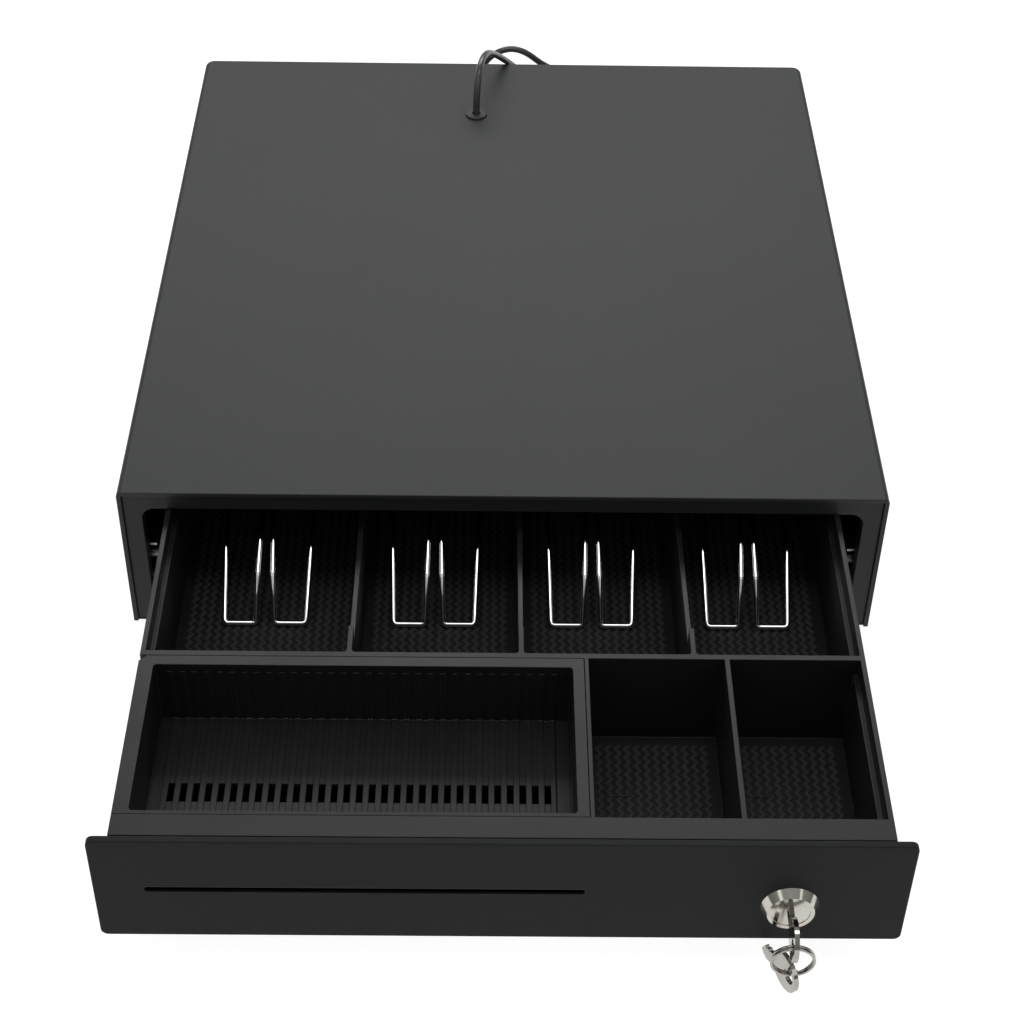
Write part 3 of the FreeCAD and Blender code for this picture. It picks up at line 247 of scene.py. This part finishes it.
def brushed_sheet(name, level):
    """Zinc-plated steel with drawn streaks along one axis."""
    nodes = Nodes(name)
    mapping = nodes.add("ShaderNodeMapping")
    mapping.inputs["Scale"].default_value = (40.0, 900.0, 900.0)
    nodes.link(nodes.coordinates(), "Object", mapping, "Vector")
    streaks = nodes.add("ShaderNodeTexNoise", Scale=1.0, Detail=3.0)
    nodes.link(mapping, "Vector", streaks, "Vector")
    base = nodes.ramp(streaks, "Fac", 0.3, 0.7, grey(level * 0.85, 0.01), grey(level * 1.1, 0.01))
    nodes.link(base, "Color", nodes.shader, "Base Color")
    nodes.shader.inputs["Metallic"].default_value = 1.0
    nodes.link(nodes.spread(streaks, "Fac", 0.27, 0.45), "Result", nodes.shader, "Roughness")
    nodes.link(nodes.bump(streaks, "Fac", 0.00001), "Normal", nodes.shader, "Normal")
    return nodes.material


def polished_metal(name, colour, rough):
    """Bright plating with faint handling marks."""
    nodes = Nodes(name)
    marks = nodes.noise(180.0, detail=6.0, roughness=0.7)
    dull = tuple(channel * 0.86 for channel in colour[:3]) + (1.0,)
    base = nodes.ramp(marks, "Fac", 0.35, 0.6, dull, colour)
    nodes.link(base, "Color", nodes.shader, "Base Color")
    nodes.shader.inputs["Metallic"].default_value = 1.0
    nodes.link(nodes.spread(marks, "Fac", rough * 0.5, rough * 1.8), "Result", nodes.shader, "Roughness")
    nodes.link(nodes.bump(marks, "Fac", 0.000006), "Normal", nodes.shader, "Normal")
    return nodes.material


def soft_rubber(name, level):
    """Matt rubber with a fine speckle."""
    nodes = Nodes(name)
    speckle = nodes.noise(700.0, detail=3.0)
    base = nodes.ramp(speckle, "Fac", 0.3, 0.7, grey(level * 0.8), grey(level * 1.3))
    nodes.link(base, "Color", nodes.shader, "Base Color")
    nodes.link(nodes.bump(speckle, "Fac", 0.00002), "Normal", nodes.shader, "Normal")
    nodes.link(nodes.spread(speckle, "Fac", 0.45, 0.65), "Result", nodes.shader, "Roughness")
    return nodes.material


def cable_jacket(name):
    """Glossy black vinyl."""
    nodes = Nodes(name)
    ripple = nodes.noise(90.0, detail=4.0)
    base = nodes.ramp(ripple, "Fac", 0.3, 0.7, grey(0.03), grey(0.055))
    nodes.link(base, "Color", nodes.shader, "Base Color")
    nodes.link(nodes.spread(ripple, "Fac", 0.24, 0.4), "Result", nodes.shader, "Roughness")
    nodes.link(nodes.bump(ripple, "Fac", 0.00008), "Normal", nodes.shader, "Normal")
    nodes.shader.inputs["Specular IOR Level"].default_value = 0.8
    return nodes.material


def clear_plastic(name):
    """The modular plug's clear moulding, very slightly hazy."""
    nodes = Nodes(name)
    haze = nodes.noise(200.0)
    base = nodes.ramp(haze, "Fac", 0.3, 0.7, (0.78, 0.82, 0.82, 1), (0.9, 0.93, 0.93, 1))
    nodes.link(base, "Color", nodes.shader, "Base Color")
    nodes.shader.inputs["Transmission Weight"].default_value = 0.85
    nodes.shader.inputs["IOR"].default_value = 1.5
    nodes.link(nodes.spread(haze, "Fac", 0.05, 0.2), "Result", nodes.shader, "Roughness")
    return nodes.material


def woven_strap(name):
    """Black hook-and-loop tape: a fine plain weave."""
    nodes = Nodes(name)
    checks = nodes.add("ShaderNodeTexChecker", Scale=1600.0)
    nodes.link(nodes.coordinates(), "Object", checks, "Vector")
    base = nodes.ramp(checks, "Fac", 0.0, 1.0, grey(0.012), grey(0.04))
    nodes.link(base, "Color", nodes.shader, "Base Color")
    nodes.link(nodes.bump(checks, "Fac", 0.0001), "Normal", nodes.shader, "Normal")
    nodes.shader.inputs["Roughness"].default_value = 0.85
    nodes.shader.inputs["Sheen Weight"].default_value = 0.3
    return nodes.material


def wound_tape(name):
    """Varnished winding with turns of wire showing through."""
    nodes = Nodes(name)
    turns = nodes.add("ShaderNodeTexWave", Scale=1200.0, Distortion=0.6)
    nodes.link(nodes.coordinates(), "Object", turns, "Vector")
    base = nodes.ramp(turns, "Fac", 0.2, 0.8, (0.16, 0.045, 0.012, 1), (0.42, 0.16, 0.05, 1))
    nodes.link(base, "Color", nodes.shader, "Base Color")
    nodes.link(nodes.bump(turns, "Fac", 0.0001), "Normal", nodes.shader, "Normal")
    nodes.shader.inputs["Roughness"].default_value = 0.3
    return nodes.material


# ---------------------------------------------------------------- mesh helpers


def new_object(name, mesh, material, body, smooth=True):
    """A new piece that rides on a body of the frame."""
    thing = bpy.data.objects.new(name, mesh)
    bpy.context.scene.collection.objects.link(thing)
    thing.data.materials.append(material)
    if smooth:
        for polygon in thing.data.polygons:
            polygon.use_smooth = True
    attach(thing, body)
    return thing


def mesh_from(name, build):
    """A mesh made by a function that fills a bmesh."""
    shape = bmesh.new()
    build(shape)
    mesh = bpy.data.meshes.new(name)
    shape.normal_update()
    shape.to_mesh(mesh)
    shape.free()
    return mesh


def add_block(shape, low, high):
    """Adds a closed block between two corners."""
    made = bmesh.ops.create_cube(shape, size=1.0)
    size = high - low
    middle = (high + low) / 2
    for vertex in made["verts"]:
        vertex.co = Vector((vertex.co.x * size.x, vertex.co.y * size.y, vertex.co.z * size.z)) + middle


def soften(thing, width):
    """Chamfers the sharp edges of an object a little."""
    bevel = thing.modifiers.new("soft_edges", "BEVEL")
    bevel.width = width
    bevel.segments = 1
    bevel.limit_method = "ANGLE"
    bevel.angle_limit = math.radians(35)
    bevel.harden_normals = True


# ---------------------------------------------------------------- cable

CABLE_ROUTE = [
    (-15, 313.5, 76), (-15, 313.5, 86), (-14, 319.5, 104), (-10.5, 339, 104.5), (-4.5, 358, 92.5),
    (6, 379, 73), (21, 389, 53), (39, 396, 39), (59, 400, 30.5), (79, 401, 30), (87, 401, 44),
    (78, 401, 57), (61, 401, 56.5), (43, 400, 56), (26, 397, 61), (9, 394, 77), (-6, 393, 74),
    (-15, 395, 59), (-22, 399, 38), (-15, 403, 18), (4, 407, 10), (26, 408, 9.2),
]
CABLE_RADIUS = 1.8
COIL_X = 46.0
COIL_Y = 430.0
COIL_LAYERS = (2.1, 5.8, 9.5)
COIL_RINGS = (17.3, 21.0, 24.7)
COIL_TURNS = (
    (COIL_RINGS[2], COIL_LAYERS[2]), (COIL_RINGS[1], COIL_LAYERS[2]), (COIL_RINGS[0], COIL_LAYERS[1]),
    (COIL_RINGS[1], COIL_LAYERS[1]), (COIL_RINGS[2], COIL_LAYERS[1]), (COIL_RINGS[0], COIL_LAYERS[0]),
    (COIL_RINGS[1], COIL_LAYERS[0]), (COIL_RINGS[2], COIL_LAYERS[0]),
)
CABLE_END = [(COIL_X, 405.4, 2.1), (60, 406, 2.2), (70, 408.4, 2.8), (78, 409, 3.5)]
POINTS_PER_TURN = 16
CROSSOVER = 4


def coil_points():
    """The put-away turns: each keeps its place, then steps over to the next one's."""
    points = []
    for turn, (radius, height) in enumerate(COIL_TURNS):
        following = COIL_TURNS[min(turn + 1, len(COIL_TURNS) - 1)]
        for step in range(POINTS_PER_TURN):
            share = max(0, step - POINTS_PER_TURN + CROSSOVER) / CROSSOVER
            angle = math.radians(-90) + 2 * math.pi * step / POINTS_PER_TURN
            ring = radius + (following[0] - radius) * share
            z = height + (following[1] - height) * share
            points.append((COIL_X + ring * math.cos(angle), COIL_Y + ring * math.sin(angle), z))
    return points


def make_cable(material):
    """The printer lead: up out of its grommet, over the rear edge, round one loose loop and into its coil."""
    route = CABLE_ROUTE + coil_points() + CABLE_END
    curve = bpy.data.curves.new("printer_cable", "CURVE")
    curve.dimensions = "3D"
    curve.bevel_depth = CABLE_RADIUS * MM
    curve.bevel_resolution = 5
    curve.resolution_u = 8
    curve.use_fill_caps = True
    spline = curve.splines.new("NURBS")
    spline.points.add(len(route) - 1)
    for point, place in zip(spline.points, route):
        point.co = (*housing(*place), 1.0)
    spline.order_u = 3
    spline.use_endpoint_u = True
    cable = bpy.data.objects.new("printer_cable", curve)
    bpy.context.scene.collection.objects.link(cable)
    curve.materials.append(material)
    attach(cable, "housing")
    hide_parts("cable", "cable_coil", "cable_tail")


# ---------------------------------------------------------------- till tray and coin box

RIB_PITCH = 4.0
ZIGZAG_SWING = 0.9
ZIGZAG_PERIOD = 4.6
RIB_HEIGHT = 0.38
NOTE_BAYS = ((-142.9, -63.5), (-61.5, 6.3), (8.3, 76.3), (78.3, 142.9))
NOTE_BAY_RIBS = (101.0, 257.0)
COIN_BINS = ((34.4, 89.6), (91.6, 142.9))
COIN_BIN_RIBS = (38.0, 93.0)
MARK_Y = 63.0
MARK_LINE = 0.5
MARK_HEIGHT = 0.6


def add_zigzag(shape, x, y0, y1, z):
    """One raised zigzag rib along the drawer, with sloping sides and a flat top."""
    offsets = ((-1.1, 0.0), (-0.85, RIB_HEIGHT), (0.85, RIB_HEIGHT), (1.1, 0.0))
    steps = int((y1 - y0) / (ZIGZAG_PERIOD / 2))
    rows = []
    for step in range(steps + 1):
        side = ZIGZAG_SWING if step % 2 else -ZIGZAG_SWING
        y = y0 + step * ZIGZAG_PERIOD / 2
        rows.append([shape.verts.new(drawer(x + side + dx, y, z + dz)) for dx, dz in offsets])
    for first, second in zip(rows, rows[1:]):
        for index in range(len(offsets) - 1):
            shape.faces.new((first[index], second[index], second[index + 1], first[index + 1]))


def add_mould_mark(shape, left):
    """A small raised L on the floor of a coin bin."""
    start = left + 9
    end = left + 18
    top = TRAY_FLOOR + MARK_HEIGHT
    add_block(shape, drawer(start, MARK_Y, TRAY_FLOOR), drawer(end, MARK_Y + MARK_LINE, top))
    add_block(shape, drawer(end - MARK_LINE, MARK_Y, TRAY_FLOOR), drawer(end, MARK_Y + 5, top))


def make_floor_emboss(material):
    """The embossed zigzag columns on the floors of the note bays and coin bins."""
    margin = 5.5

    def build(shape):
        for bays, (front, rear) in ((NOTE_BAYS, NOTE_BAY_RIBS), (COIN_BINS, COIN_BIN_RIBS)):
            for left, right in bays:
                columns = int((right - left - 2 * margin) / RIB_PITCH)
                start = (left + right - columns * RIB_PITCH) / 2
                for column in range(columns + 1):
                    add_zigzag(shape, start + column * RIB_PITCH, front, rear, TRAY_FLOOR)
        for left, _ in COIN_BINS:
            add_mould_mark(shape, left)

    mesh = mesh_from("floor_emboss", build)
    emboss = new_object("floor_emboss", mesh, material, "drawer", smooth=False)


def make_coin_ribs(material):
    """Raised bars between the coin slots, running up the box's rear wall, and a plain strip at either end."""
    left, right, front, rear = BOX_INSIDE
    bar = COIN_SLOT_PITCH - COIN_SLOT_WIDTH
    height = 0.7
    wall_height = 0.3
    wall_top = BOX_FLOOR + 28
    sill = 4.6
    left_strip = (left + 0.6, COIN_SLOTS_LEFT - bar - 1.2)
    right_strip = (21.2, right - 0.8)

    def build(shape):
        for index in range(COIN_SLOTS + 1):
            x = COIN_SLOTS_LEFT + index * COIN_SLOT_PITCH - bar
            low = drawer(x, front, BOX_FLOOR)
            add_block(shape, low, drawer(x + bar, rear, BOX_FLOOR + height))
            add_block(shape, drawer(x, rear - wall_height, BOX_FLOOR), drawer(x + bar, rear, wall_top))
        for x0, x1 in (left_strip, right_strip):
            add_block(shape, drawer(x0, front, BOX_FLOOR), drawer(x1, rear, BOX_FLOOR + height))
        for index in range(COIN_SLOTS):
            x = COIN_SLOTS_LEFT + index * COIN_SLOT_PITCH
            low = drawer(x, COIN_SLOT_REAR, BOX_FLOOR)
            high = drawer(x + COIN_SLOT_WIDTH, COIN_SLOT_REAR + sill, BOX_FLOOR + height / 2)
            add_block(shape, low, high)

    ribs = new_object("coin_box_ribs", mesh_from("coin_box_ribs", build), material, "coin_box", smooth=False)
    soften(ribs, 0.12 * MM)


# ---------------------------------------------------------------- note clips and keys

CLIP_X = (-104.5, -30.1, 39.4, 108.4)
CLIP_WIRE = 1.25
CLIP_PIVOT = (244.0, 61.0)
CLIP_COIL = 3.2
CLIP_LEG_SPREAD = 20.75
CLIP_SIDE = (
    (CLIP_LEG_SPREAD, 244.0, 57.8), (19.0, 194.0, 44.0), (17.85, 160.0, 24.65),
    (4.15, 160.0, 24.65), (3.25, 172.6, 42.5), (2.75, 194.0, 53.5), (2.55, 236.0, 58.8),
)
CLIP_BEND = 3.6
CLIP_TURNS = 2
WINDING_STEPS = 12


def bent_route(points, bend):
    """The points of a wire with two more beside each corner, so that a smooth spline turns only there."""
    corners = [Vector(point) for point in points]
    route = [corners[0]]
    for before, corner, after in zip(corners, corners[1:], corners[2:]):
        incoming = (corner - before).normalized()
        outgoing = (after - corner).normalized()
        reach = bend * math.tan(incoming.angle(outgoing) / 2)
        reach = min(reach, 0.45 * (corner - before).length, 0.45 * (after - corner).length)
        route += [corner - incoming * reach, corner, corner + outgoing * reach]
    return route + [corners[-1]]


def clip_winding(side):
    """The turns at one end of a clip, wound round its pivot rod from outside in."""
    pivot_y, pivot_z = CLIP_PIVOT
    points = []
    for step in range(CLIP_TURNS * WINDING_STEPS, 0, -1):
        angle = 2 * math.pi * step / WINDING_STEPS
        x = CLIP_LEG_SPREAD + 2 * CLIP_WIRE * step / WINDING_STEPS
        y = pivot_y + CLIP_COIL * math.sin(angle)
        z = pivot_z - CLIP_COIL * math.cos(angle)
        points.append(Vector((side * x, y, z)))
    return points


def make_clip(number, x, material):
    """One note clip: a single bright wire from one winding round both loops to the other winding."""
    mirrored = [(-px, py, pz) for px, py, pz in reversed(CLIP_SIDE)]
    middle = bent_route([*CLIP_SIDE, *mirrored], CLIP_BEND)
    route = clip_winding(1) + middle + list(reversed(clip_winding(-1)))
    name = f"note_clip_wire_{number}"
    curve = bpy.data.curves.new(name, "CURVE")
    curve.dimensions = "3D"
    curve.bevel_depth = CLIP_WIRE * MM
    curve.bevel_resolution = 6
    curve.resolution_u = 6
    curve.use_fill_caps = True
    spline = curve.splines.new("NURBS")
    spline.points.add(len(route) - 1)
    for point, place in zip(spline.points, route):
        point.co = (*drawer(x + place.x, place.y, place.z), 1.0)
    spline.order_u = 3
    spline.use_endpoint_u = True
    clip = bpy.data.objects.new(name, curve)
    bpy.context.scene.collection.objects.link(clip)
    curve.materials.append(material)
    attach(clip, f"note_clip_{number}")
    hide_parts(f"note_clip_{number}")


LOCK_X = 110.0
LOCK_Z = 33.8
KEY_HOLE_Y = -18.95
RING_RADIUS = 8.1
RING_DROP = 0.3
RING_Z = LOCK_Z - RING_DROP - RING_RADIUS
RING_WIRE = (0.56, 0.62)
RING_TURN_GAP = 1.36
RING_STEPS = 144
RING_SIDES = 12


def make_split_ring(material):
    """A split ring: two turns of flattened wire side by side, crossing over at the back."""
    cross_from = 0.44
    cross_share = 0.12
    wide, tall = RING_WIRE
    corners = [2 * math.pi * corner / RING_SIDES for corner in range(RING_SIDES)]
    section = [(wide * math.cos(corner), tall * math.sin(corner)) for corner in corners]

    def build(shape):
        rows = []
        for step in range(RING_STEPS + 1):
            angle = 4 * math.pi * step / RING_STEPS - math.radians(70)
            crossed = min(max((step / RING_STEPS - cross_from) / cross_share, 0.0), 1.0)
            offset = RING_TURN_GAP * (crossed * crossed * (3 - 2 * crossed) - 0.5)
            row = []
            for across, outward in section:
                reach = RING_RADIUS + outward
                place = drawer(LOCK_X + reach * math.cos(angle), KEY_HOLE_Y + offset + across,
                               RING_Z + reach * math.sin(angle))
                row.append(shape.verts.new(place))
            rows.append(row)
        for first, second in zip(rows, rows[1:]):
            for index in range(RING_SIDES):
                following = (index + 1) % RING_SIDES
                shape.faces.new((first[index], first[following], second[following], second[index]))
        shape.faces.new(rows[0])
        shape.faces.new(list(reversed(rows[-1])))

    ring = new_object("split_ring", mesh_from("split_ring", build), material, "key_ring")
    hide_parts("key_ring")


# ---------------------------------------------------------------- light and floor


TABLE_GLOW = 0.92


def make_stage():
    """A white table that polished parts mirror, but that throws no light of its own onto matt ones."""

    def build(shape):
        bmesh.ops.create_grid(shape, x_segments=1, y_segments=1, size=FLOOR_SIZE / 2)

    floor = bpy.data.objects.new("floor", mesh_from("floor", build))
    bpy.context.scene.collection.objects.link(floor)
    nodes = Nodes("white_table")
    nodes.shader.inputs["Base Color"].default_value = grey(0.3)
    nodes.shader.inputs["Roughness"].default_value = 0.9
    nodes.shader.inputs["Specular IOR Level"].default_value = 0.0
    nodes.shader.inputs["Emission Color"].default_value = grey(1.0)
    nodes.shader.inputs["Emission Strength"].default_value = TABLE_GLOW
    floor.data.materials.append(nodes.material)
    floor.visible_diffuse = False


def add_area_light(name, place, aim, width, height, power):
    """A rectangular lamp of a size in metres and a power in watts, turned to what it lights."""
    data = bpy.data.lights.new(name, "AREA")
    data.shape = "RECTANGLE"
    data.size = width
    data.size_y = height
    data.energy = power
    lamp = bpy.data.objects.new(name, data)
    lamp.location = place
    lamp.rotation_euler = (Vector(aim) - Vector(place)).to_track_quat("-Z", "Y").to_euler()
    bpy.context.scene.collection.objects.link(lamp)


def make_world():
    """A dim room: dark near and below the table's level, paler towards the ceiling."""
    world = bpy.data.worlds.new("studio")
    world.use_nodes = True
    tree = world.node_tree
    direction = tree.nodes.new("ShaderNodeTexCoord")
    height = tree.nodes.new("ShaderNodeSeparateXYZ")
    ramp = tree.nodes.new("ShaderNodeValToRGB")
    ramp.color_ramp.elements[0].color = grey(0.2)
    ramp.color_ramp.elements[1].color = grey(0.42)
    tree.links.new(direction.outputs["Generated"], height.inputs[0])
    tree.links.new(height.outputs["Z"], ramp.inputs["Fac"])
    tree.links.new(ramp.outputs["Color"], tree.nodes["Background"].inputs["Color"])
    bpy.context.scene.world = world


def make_lights():
    """A large soft lamp behind, a smaller one overhead and a faint fill from either side of the camera."""
    make_world()
    add_area_light("rear", (0, 1.35, 1.15), (0, -0.05, 0), 1.6, 0.7, 13)
    add_area_light("overhead", (0, -0.24, 1.4), (0, -0.24, 0), 0.9, 0.42, 4)
    add_area_light("fill_left", (-1.0, -1.4, 1.1), (0, -0.1, 0), 0.9, 0.9, 2.5)
    add_area_light("fill_right", (1.1, -1.3, 1.0), (0, -0.1, 0), 0.9, 0.9, 2.5)
    bpy.context.scene.view_settings.view_transform = "Standard"


make_camera()
JACKET = cable_jacket("cable_jacket")
make_cable(JACKET)

COAT = powder_coat("powder_coat", 0.03)
DARK = powder_coat("dark_frame", 0.02)
# The panel's and the tray's large edge factors paint a bright highlight line along their edges.
PANEL = powder_coat("panel_coat", 0.02, specular=0.1, edge_highlight=9.0)
PLASTIC = moulded_plastic("tray_plastic", 0.008, edge_highlight=12.0, specular=0.38)
# The raised floor ribs take a lighter copy of the tray plastic: a painted highlight on the ribs.
LIGHTENED_EMBOSS = moulded_plastic("tray_emboss_lightened", 0.02, 0.5, specular=0.5)
ZINC = brushed_sheet("zinc_sheet", 0.38)
WIRE = polished_metal("bright_wire", (0.86, 0.86, 0.87, 1), 0.05)
LOCK = polished_metal("lock_chrome", (0.55, 0.53, 0.48, 1), 0.1)
KEY = polished_metal("key_steel", (0.4, 0.38, 0.35, 1), 0.1)
ACETAL = moulded_plastic("acetal", 0.55, 0.4, edge_highlight=1.2)
RUBBER = soft_rubber("rubber", 0.02)
PLUG = clear_plastic("clear_plug")
STRAP = woven_strap("strap")
WINDING = wound_tape("copper_winding")
CASE = moulded_plastic("switch_case", 0.03)

BY_SLOT = {
    "powder_coat": COAT, "dark_frame": DARK, "panel_coat": PANEL, "tray_plastic": PLASTIC,
    "zinc_sheet": ZINC, "bright_wire": WIRE, "lock_chrome": LOCK, "key_steel": KEY, "acetal": ACETAL,
    "rubber": RUBBER, "clear_plug": PLUG, "strap": STRAP, "copper_winding": WINDING,
    "switch_case": CASE, "cable_jacket": JACKET,
}


def paint_cad_nodes():
    """Gives every carried-over CAD node its material; the materials also soften its edges."""
    for part in frame["record"]["subparts"]:
        node = frame["nodes"][part["node"]]
        material = BY_SLOT[part["material_slot"]]
        if not node.material_slots:
            node.data.materials.append(material)
        for slot in node.material_slots:
            slot.material = material


paint_cad_nodes()
make_floor_emboss(LIGHTENED_EMBOSS)
make_coin_ribs(PLASTIC)
for number, clip_x in enumerate(CLIP_X, start=1):
    make_clip(number, clip_x, WIRE)
make_split_ring(KEY)
make_stage()
make_lights()
